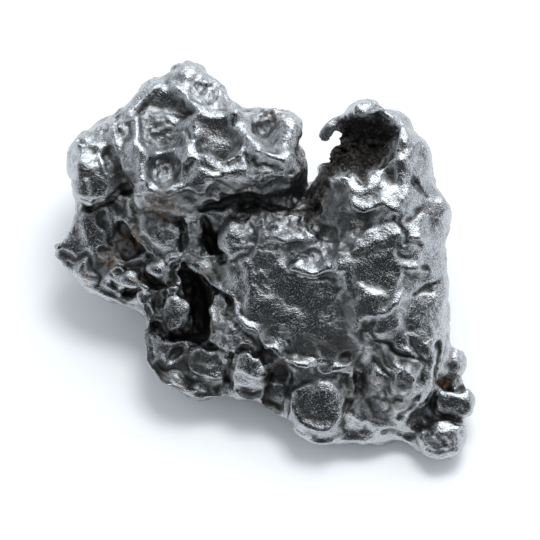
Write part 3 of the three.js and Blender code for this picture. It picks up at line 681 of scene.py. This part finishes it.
def raiseAndSink(u, v, weight, lift):
    for shapes, (top, foot) in ((domes, stone["domeFall"]), (pads, stone["padFall"])):
        for at, radii, turn, rise in shapes:
            away = ovalDistance(at, radii, turn, u, v)
            lift += rise * np.clip(1 - away**top, 0, 1) ** foot * weight

    top, foot = stone["dishFall"]
    rimAt, rimWidth = stone["dishRim"]
    for at, radii, turn, depth, rim in dishes:
        away = ovalDistance(at, radii, turn, u, v)
        bowl = np.clip(1 - away**top, 0, 1) ** foot
        lift += (rim * np.exp(-(((away - rimAt) / rimWidth) ** 2)) - depth * bowl) * weight

    for outline, depth, slope in hollows:
        inside = insideDistance(outline, u, v) / slope
        lift -= depth * smooth(stone["hollowOut"] + inside) * weight


def workFace(points, normals):
    u, v, w = toFace(points).T
    points = filledOut(points, normals, u, v)
    u, v = wavered(points, u, v)
    weight = faceWeight(normals)
    lift = pressFacets(u, v, w, weight)
    drawLines(u, v, weight, lift)
    raiseAndSink(u, v, weight, lift)
    moved = points + (lift * mm)[:, None] * aimed(normals, stone["strokeAim"])

    facing = fade(normals @ outOfFace, *stone["digFacing"])
    for outline, depth in digs:
        mask = fade(insideDistance(outline, u, v), *stone["digEdge"]) * facing
        moved -= (mask * depth * mm)[:, None] * outOfFace
    return moved


def steadyNormals(normals, edges, rounds):
    steady = relaxed(normals, edges, rounds)
    return steady / np.linalg.norm(steady, axis=1)[:, None]


def wearStone(points, normals):
    small = points / mm
    u, v, _ = toFace(points).T
    onFace = faceWeight(normals)
    behind = 1 - onFace
    wear, grit, fibre = stone["wear"], stone["grit"], stone["fibre"]
    rough = spots(roughPlaces, u, v, 1.4) * fade(normals @ outOfFace, 0.45, 0.3)
    rough = smooth(rough * (0.9 + 1.4 * noiseField(small, 1.6, (2, 2, 7), 2)))
    patches = smooth(3 * noiseField(small, 9, (5, 1, 3), 2))
    rough = np.maximum(rough, grit["behind"] * behind * patches)
    scoop = placeMask(oxidePlaces, u, v, 0.2, 1.6) * onFace
    calm = placeMask(calmPlaces, u, v, 0.5, 2.0) * onFace

    rise = np.zeros(len(points))
    for name, share in (("lumps", 1), ("backLumps", behind)):
        for cell, height, warp, level, shift in stone[name]:
            field = bulgeField(small, cell, warp, (shift, cell, 4))
            rise += share * height * (field - level)
    uneven = wear["rise"] * noiseField(small, wear["cell"], (2, 9, 4), 4, fading=1.15)
    uneven *= 1 - wear["scoop"] * scoop - wear["behind"] * behind
    rise += uneven * (1 - wear["calm"] * calm)
    rise += grit["rise"] * rough * noiseField(small, grit["cell"], (6, 3, 8), 3)
    strands = 1 - 2.4 * np.abs(noiseField(small, fibre["cell"], (3, 7, 1), 3, fibre["stretch"]))
    rise += fibre["rise"] * scoop * (strands - 0.5)
    return points + (rise * mm)[:, None] * normals, rough


def keepAboveGround(mesh, points):
    points[:, 2] = np.maximum(points[:, 2], 0)
    setPoints(mesh, points)


def workStone(piece):
    before, after = stone["steady"]
    points, normals, edges = meshArrays(piece.data)
    print("rough stone:", len(points), "points")
    steady = steadyNormals(normals, edges, before)
    setPoints(piece.data, workFace(points + stone["swell"] * mm * steady, steady))
    applied(piece, "REMESH", mode="VOXEL", voxel_size=stone["voxel"] * mm)
    applied(piece, "SMOOTH", factor=0.5, iterations=1)

    points, normals, edges = meshArrays(piece.data)
    points, rough = wearStone(points, steadyNormals(normals, edges, after))
    keepAboveGround(piece.data, points)
    return rough


piece = roughStone()
rough = workStone(piece)
print("stone worked:", len(piece.data.polygons), "faces")

# What the material reads from the mesh: painted shade with dirt in the hollows, painted shade along
# the creases, and how rough, black or rusty it is.
marks = {
    "rays": 9,  # from each point, to see how sheltered it is
    "rayLength": 9,
    "rayTurn": 2.4,  # radians from one ray to the next
    "sheltered": (0.3, 0.55),  # painted shade from this share of stopped rays on, over this span
    "sunk": ((10, 0.13), (60, 0.7)),  # rounds of smoothing, and the depth at which the painted shade is full
    "deep": 1.3,  # over one, so that the painted shade stays dark where the metal is rough
    # how strong the darkened round places are: dirt, and painted shade
    "dirtAndShade": 0.8,
    "creaseShadeWidth": (0.3, 0.4),  # the painted shade along a crease is at least this wide, plus this share of the crease's width
    "creaseShadeDepth": (0.4, 0.9),  # a crease gets painted shade from this depth on, over this span
    "fray": {"cell": 1.4, "reach": 0.8},  # of the edges of the oxide and the rust
}


def setMask(mesh, name, values):
    layer = mesh.attributes.new(name, "FLOAT", "POINT")
    layer.data.foreach_set("value", np.clip(values, 0, 1).astype(np.float32))


# The share of short rays that the stone stops round each point; it sets the painted shade in the
# hollows.
def shelter(piece, points, normals):
    tree = BVHTree.FromObject(piece, bpy.context.evaluated_depsgraph_get())
    side = np.cross(normals, (0.36, 0.48, 0.8))
    side /= np.linalg.norm(side, axis=1)[:, None]
    other = np.cross(normals, side)
    starts = (points + 0.2 * mm * normals).tolist()
    stopped = np.zeros(len(points))
    rays, length = marks["rays"], marks["rayLength"] * mm
    for ray in range(rays):
        steep = math.sqrt(1 - (ray + 0.5) / rays)
        flat, turn = math.sqrt(1 - steep * steep), ray * marks["rayTurn"]
        ways = steep * normals + flat * (math.cos(turn) * side + math.sin(turn) * other)
        pairs = zip(starts, ways.tolist())
        stopped += [tree.ray_cast(start, way, length)[0] is not None for start, way in pairs]
    return stopped / rays


# Painted shade along the creases: each ridge whose rise is below zero gets a dark line.
def creaseShades(u, v):
    mask = np.zeros(len(u))
    least, share = marks["creaseShadeWidth"]
    for path, width, rise in ridges:
        if rise < 0:
            away = pathDistance(path, u, v)[0] / (least + share * width)
            mask = np.maximum(mask, fade(-rise, *marks["creaseShadeDepth"]) * smooth(1.3 - away))
    return mask


def markSurface(piece):
    mesh = piece.data
    points, normals, edges = meshArrays(mesh)
    small = points / mm
    u, v, _ = toFace(points).T
    strokeU, strokeV = wavered(points, u, v)
    onFace = fade(normals @ outOfFace, -0.35, 0.5)
    # painted shade where a point is sheltered, or sunk below its smoothed neighbours
    shadeAndDirt = marks["deep"] * fade(shelter(piece, points, normals), *marks["sheltered"])
    for rounds, depth in marks["sunk"]:
        sunk = np.einsum("ij,ij->i", relaxed(points, edges, rounds) - points, normals) / mm
        shadeAndDirt = np.maximum(shadeAndDirt, smooth(sunk / depth))
    # the darkest painted shade in the deepest places; dirt and painted shade in the round places
    deepShade = marks["deep"] * placeMask(deepShadePlaces, strokeU, strokeV, 0.3, 1.2) * onFace
    dirtAndShade = spots(dirtAndShadePlaces, u, v, 1.5) * onFace
    dirtAndShade = marks["dirtAndShade"] * smooth(dirtAndShade * (0.9 + 1.2 * noiseField(small, 2.2, (6, 6, 1), 2)))
    setMask(mesh, "shadeAndDirt", np.maximum(np.maximum(shadeAndDirt, deepShade), dirtAndShade))
    setMask(mesh, "creaseShade", creaseShades(strokeU, strokeV) * onFace)
    setMask(mesh, "rough", rough)
    fray = marks["fray"]
    u = u + fray["reach"] * noiseField(small, fray["cell"], (3, 3, 3), 2)
    v = v + fray["reach"] * noiseField(small, fray["cell"], (1, 5, 9), 2)
    setMask(mesh, "oxide", placeMask(oxidePlaces, u, v, 0.4, 0.7) * onFace)
    setMask(mesh, "rust", spots(rustPlaces, u, v, 1.4) * onFace)


markSurface(piece)
print("surface marked")


def thinned(piece):
    triangles = sum(len(polygon.vertices) - 2 for polygon in piece.data.polygons)
    _, normals, _ = meshArrays(piece.data)
    group = piece.vertex_groups.new(name="thin")
    third = np.minimum(((1 - faceWeight(normals)) * 3).astype(int), 2)
    for step, weight in enumerate(stone["thinning"]):
        group.add(np.flatnonzero(third == step).tolist(), weight, "REPLACE")
    applied(piece, "DECIMATE", ratio=stone["triangles"] / triangles, vertex_group="thin")
    piece.vertex_groups.clear()
    keepAboveGround(piece.data, meshArrays(piece.data)[0])
    print("stone thinned:", len(piece.data.polygons), "faces")


thinned(piece)


def addNode(tree, kind, **settings):
    node = tree.nodes.new(kind)
    for name, value in settings.items():
        setattr(node, name, value)
    return node


def newGroup(name, inputs, outputs):
    group = bpy.data.node_groups.new(name, "ShaderNodeTree")
    for label, kind, value in inputs:
        socket = group.interface.new_socket(label, in_out="INPUT", socket_type=kind)
        socket.default_value = value
    for label, kind in outputs:
        group.interface.new_socket(label, in_out="OUTPUT", socket_type=kind)
    return group, addNode(group, "NodeGroupInput"), addNode(group, "NodeGroupOutput")


def ramp(tree, source, stops):
    node = addNode(tree, "ShaderNodeValToRGB")
    elements = node.color_ramp.elements
    while len(elements) > len(stops):
        elements.remove(elements[-1])
    while len(elements) < len(stops):
        elements.new(1)
    for element, (position, value) in zip(elements, stops):
        element.position = position
        element.color = (value, value, value, 1)
    tree.links.new(source, node.inputs["Fac"])
    return node.outputs["Color"]


def feed(tree, socket, value):
    if isinstance(value, tuple):
        socket.default_value = (*value, 1)
    elif isinstance(value, (int, float)):
        socket.default_value = value
    else:
        tree.links.new(value, socket)


def calculated(tree, operation, first, second, clamp=False):
    node = addNode(tree, "ShaderNodeMath", operation=operation, use_clamp=clamp)
    feed(tree, node.inputs[0], first)
    feed(tree, node.inputs[1], second)
    return node.outputs["Value"]


def product(tree, first, second, clamp=False):
    return calculated(tree, "MULTIPLY", first, second, clamp)


def socketOf(sockets, kind, name):
    return [socket for socket in sockets if socket.type == kind and socket.name == name][0]


def mixed(tree, factor, first, second, colour=False):
    node = addNode(tree, "ShaderNodeMix", data_type="RGBA" if colour else "FLOAT")
    kind = "RGBA" if colour else "VALUE"
    feed(tree, socketOf(node.inputs, "VALUE", "Factor"), factor)
    feed(tree, socketOf(node.inputs, kind, "A"), first)
    feed(tree, socketOf(node.inputs, kind, "B"), second)
    return socketOf(node.outputs, kind, "Result")


def mixedColour(tree, factor, first, second):
    return mixed(tree, factor, first, second, colour=True)


def pattern(tree, place, values, kind="Noise"):
    node = addNode(tree, "ShaderNodeTex" + kind)
    tree.links.new(place, node.inputs["Vector"])
    for name, value in values.items():
        node.inputs[name.capitalize()].default_value = value
    return node.outputs["Fac" if kind == "Noise" else "Distance"]


def attribute(tree, name):
    node = addNode(tree, "ShaderNodeAttribute", attribute_type="GEOMETRY", attribute_name=name)
    return node.outputs["Fac"]


metal = {
    "bright": (0.59, 0.61, 0.63),
    # the colour of the painted shade and dirt in the hollows
    "shadeAndDirtTone": (0.11, 0.105, 0.09),
    # the colour of the darkest painted shade, in the deepest places and along the creases
    "deepShade": (0.028, 0.025, 0.021),
    "speck": (0.13, 0.125, 0.115),
    "rustLight": (0.20, 0.095, 0.045),
    "rustDark": (0.10, 0.045, 0.02),
    "oxideDark": (0.012, 0.011, 0.010),
    "oxideLight": (0.060, 0.052, 0.046),
    # patterns, with scales in cells to the metre
    "coarse": {"scale": 420, "detail": 4, "roughness": 0.7},
    "fine": {"scale": 2900, "detail": 3, "roughness": 0.65},
    "pits": {"scale": 900},
    "pocks": {"scale": 2700},
    "stain": {"scale": 160, "detail": 6, "roughness": 0.65},
    "fibre": {"scale": 700, "detail": 5, "distortion": 1.5},
    # how high they stand, and all of them together
    "fineHeight": (0.42, 0.75),  # on smooth and on rough metal
    "coarseHeight": 1.2,
    "pitHeight": 0.35,
    "pockHeight": 0.17,
    "bump": 0.22,
    # roughness
    "gloss": (0.13, 0.28),  # of the least and the most worn metal
    "roughGloss": 0.36,
    "hollowGloss": 0.55,
    "oxideGloss": 0.85,
}


def grainGroup():
    group, inside, outside = newGroup(
        "tumbledGrain",
        [("Vector", "NodeSocketVector", (0, 0, 0)), ("Roughening", "NodeSocketFloat", 0.0)],
        [("Height", "NodeSocketFloat"), ("Wear", "NodeSocketFloat"), ("Speck", "NodeSocketFloat")],
    )
    link = group.links.new
    place = inside.outputs["Vector"]
    coarse = pattern(group, place, metal["coarse"])
    fine = pattern(group, place, metal["fine"])
    pit = pattern(group, place, metal["pits"], "Voronoi")
    pock = pattern(group, place, metal["pocks"], "Voronoi")
    pit = ramp(group, pit, [(0.0, 0.0), (0.28, 1.0)])
    pit = mixed(group, ramp(group, coarse, [(0.45, 0.0), (0.62, 1.0)]), 1.0, pit)
    pock = ramp(group, pock, [(0.12, 0.0), (0.42, 1.0)])
    pock = mixed(group, ramp(group, fine, [(0.44, 0.0), (0.56, 1.0)]), 1.0, pock)
    fineHeight = mixed(group, inside.outputs["Roughening"], *metal["fineHeight"])
    total = product(group, fine, fineHeight)
    for layer, height in ((coarse, "coarseHeight"), (pit, "pitHeight"), (pock, "pockHeight")):
        total = calculated(group, "ADD", total, product(group, layer, metal[height]))
    link(total, outside.inputs["Height"])
    wear = calculated(group, "ADD", product(group, coarse, 0.6), product(group, fine, 0.4))
    link(wear, outside.inputs["Wear"])
    link(ramp(group, fine, [(0.36, 1.0), (0.56, 0.0)]), outside.inputs["Speck"])
    return group


def ironMaterial():
    material = bpy.data.materials.new("tumbledNickelIron")
    material.use_nodes = True
    tree = material.node_tree
    tree.nodes.clear()
    link = tree.links.new
    output = addNode(tree, "ShaderNodeOutputMaterial")
    shader = addNode(tree, "ShaderNodeBsdfPrincipled")
    link(shader.outputs["BSDF"], output.inputs["Surface"])
    place = addNode(tree, "ShaderNodeTexCoord").outputs["Object"]
    masks = ("shadeAndDirt", "creaseShade", "rough", "oxide", "rust")
    shadeAndDirt, creaseShade, rough, oxide, rust = (attribute(tree, name) for name in masks)

    grain = addNode(tree, "ShaderNodeGroup", node_tree=grainGroup())
    link(place, grain.inputs["Vector"])
    link(rough, grain.inputs["Roughening"])

    stain = pattern(tree, place, metal["stain"])
    fibre = pattern(tree, place, metal["fibre"])
    patchy = ramp(tree, stain, [(0.38, 0.0), (0.66, 1.0)])
    strand = ramp(tree, fibre, [(0.48, 0.0), (0.62, 1.0)])
    # less painted shade where the metal is rough
    shadeAndDirt = product(tree, shadeAndDirt, mixed(tree, rough, 1.0, 0.4))

    # painted shade and dirt in the hollows, dark specks, then the darkest painted shade in the
    # deepest places and along the creases
    stained = calculated(tree, "ADD", product(tree, patchy, 0.5), 0.45)
    shadeAndDirtShare = product(tree, shadeAndDirt, stained, clamp=True)
    colour = mixedColour(tree, shadeAndDirtShare, metal["bright"], metal["shadeAndDirtTone"])
    speckled = product(tree, grain.outputs["Speck"], mixed(tree, rough, 0.55, 0.6))
    colour = mixedColour(tree, speckled, colour, metal["speck"])
    deep = product(tree, calculated(tree, "SUBTRACT", shadeAndDirt, 0.7, clamp=True), 1.6, clamp=True)
    deep = calculated(tree, "MAXIMUM", deep, product(tree, creaseShade, 0.9))
    colour = mixedColour(tree, deep, colour, metal["deepShade"])

    rusty = product(tree, rust, ramp(tree, fibre, [(0.46, 0.0), (0.60, 1.0)]), clamp=True)
    rustColour = mixedColour(tree, patchy, metal["rustDark"], metal["rustLight"])
    colour = mixedColour(tree, rusty, colour, rustColour)
    oxideColour = mixedColour(tree, strand, metal["oxideDark"], metal["oxideLight"])
    colour = mixedColour(tree, oxide, colour, oxideColour)
    link(colour, shader.inputs["Base Color"])

    notMetal = calculated(tree, "MAXIMUM", oxide, product(tree, rusty, 0.8))
    link(calculated(tree, "SUBTRACT", 1.0, notMetal, clamp=True), shader.inputs["Metallic"])

    gloss = mixed(tree, grain.outputs["Wear"], *metal["gloss"])
    gloss = mixed(tree, product(tree, rough, 0.7), gloss, metal["roughGloss"])
    gloss = mixed(tree, product(tree, shadeAndDirt, 0.6), gloss, metal["hollowGloss"])
    gloss = mixed(tree, notMetal, gloss, metal["oxideGloss"])
    link(gloss, shader.inputs["Roughness"])

    bump = addNode(tree, "ShaderNodeBump")
    bump.inputs["Strength"].default_value = 1.0
    bump.inputs["Distance"].default_value = metal["bump"] * mm
    link(grain.outputs["Height"], bump.inputs["Height"])
    link(bump.outputs["Normal"], shader.inputs["Normal"])
    return material


piece.data.materials.append(ironMaterial())
only(piece)
bpy.ops.object.shade_smooth()
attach(piece, "root")
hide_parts("meteorite")
print("material made")

studio = {
    "tableSize": 6.0,
    "tableColour": (0.86, 0.87, 0.885),
    "fill": 0.72,  # light from all round, for the table and the dull places
    # what the metal mirrors, by its angle from where the show face looks: degrees, light
    "room": [(0, 0.022), (25, 0.028), (45, 0.06), (68, 0.24), (95, 0.5), (150, 0.6)],
    "tint": (0.94, 1.0, 1.06),
    # soft white panels that the metal mirrors: where they stand, half width in degrees, light
    "panels": [
        {"toward": (0.15, 0.766, 0.7), "width": 36, "light": 2.5},
        {"toward": (-1.0, 0.1, 0.45), "width": 20, "light": 0.7},
        {"toward": (1.0, -0.1, 0.36), "width": 26, "light": 1.0},
    ],
    "softBox": {"toward": (0.35, 0.5, 1.3), "distance": 1.2, "size": (1.0, 1.0), "power": 3.0},
    # whitens the table and draws the shadow close; the metal doesn't mirror it
    "overhead": {
        "toward": (0.12, 0.1, 1.0), "distance": 1.2, "size": (0.4, 0.4), "power": 7.0,
        "mirrored": False,
    },
}


def addTable():
    bpy.ops.mesh.primitive_plane_add(size=studio["tableSize"], location=(0, 0, 0))
    table = bpy.context.active_object
    table.name = "table"
    material = bpy.data.materials.new("paleTable")
    material.use_nodes = True
    shader = material.node_tree.nodes["Principled BSDF"]
    shader.inputs["Base Color"].default_value = (*studio["tableColour"], 1)
    shader.inputs["Roughness"].default_value = 0.6
    table.data.materials.append(material)


# The angle between a direction and a way, as a share of half a turn.
def halfTurns(tree, direction, way):
    dot = addNode(tree, "ShaderNodeVectorMath", operation="DOT_PRODUCT")
    tree.links.new(direction, dot.inputs[0])
    dot.inputs[1].default_value = way
    angle = calculated(tree, "ARCCOSINE", dot.outputs["Value"], 0.0)
    return calculated(tree, "DIVIDE", angle, math.pi)


def addPanel(tree, direction, panel):
    away = halfTurns(tree, direction, Vector(panel["toward"]).normalized())
    edge = panel["width"] / 180
    return product(tree, ramp(tree, away, [(0.45 * edge, 1.0), (edge, 0.0)]), panel["light"])


def addStudio():
    world = bpy.data.worlds.new("studio")
    bpy.context.scene.world = world
    world.use_nodes = True
    tree = world.node_tree
    tree.nodes.clear()
    link = tree.links.new
    output = addNode(tree, "ShaderNodeOutputWorld")
    background = addNode(tree, "ShaderNodeBackground")
    link(background.outputs["Background"], output.inputs["Surface"])
    direction = addNode(tree, "ShaderNodeTexCoord").outputs["Generated"]
    stops = [(degrees / 180, light) for degrees, light in studio["room"]]
    room = ramp(tree, halfTurns(tree, direction, outOfFace), stops)
    for panel in studio["panels"]:
        room = calculated(tree, "ADD", room, addPanel(tree, direction, panel))
    ray = addNode(tree, "ShaderNodeLightPath").outputs["Is Glossy Ray"]
    link(mixed(tree, ray, studio["fill"], room), background.inputs["Strength"])
    background.inputs["Color"].default_value = (*studio["tint"], 1)


def addSoftBox(name, box):
    data = bpy.data.lights.new(name, "AREA")
    data.shape = "RECTANGLE"
    data.size, data.size_y = box["size"]
    data.energy = box["power"]
    lamp = bpy.data.objects.new(name, data)
    bpy.context.scene.collection.objects.link(lamp)
    away = Vector(box["toward"]).normalized()
    lamp.visible_glossy = box.get("mirrored", True)
    lamp.location = away * box["distance"]
    lamp.rotation_euler = away.to_track_quat("Z", "Y").to_euler()


addTable()
addStudio()
addSoftBox("softBox", studio["softBox"])
addSoftBox("overhead", studio["overhead"])
bpy.context.scene.view_settings.view_transform = "Standard"
print("studio lit")
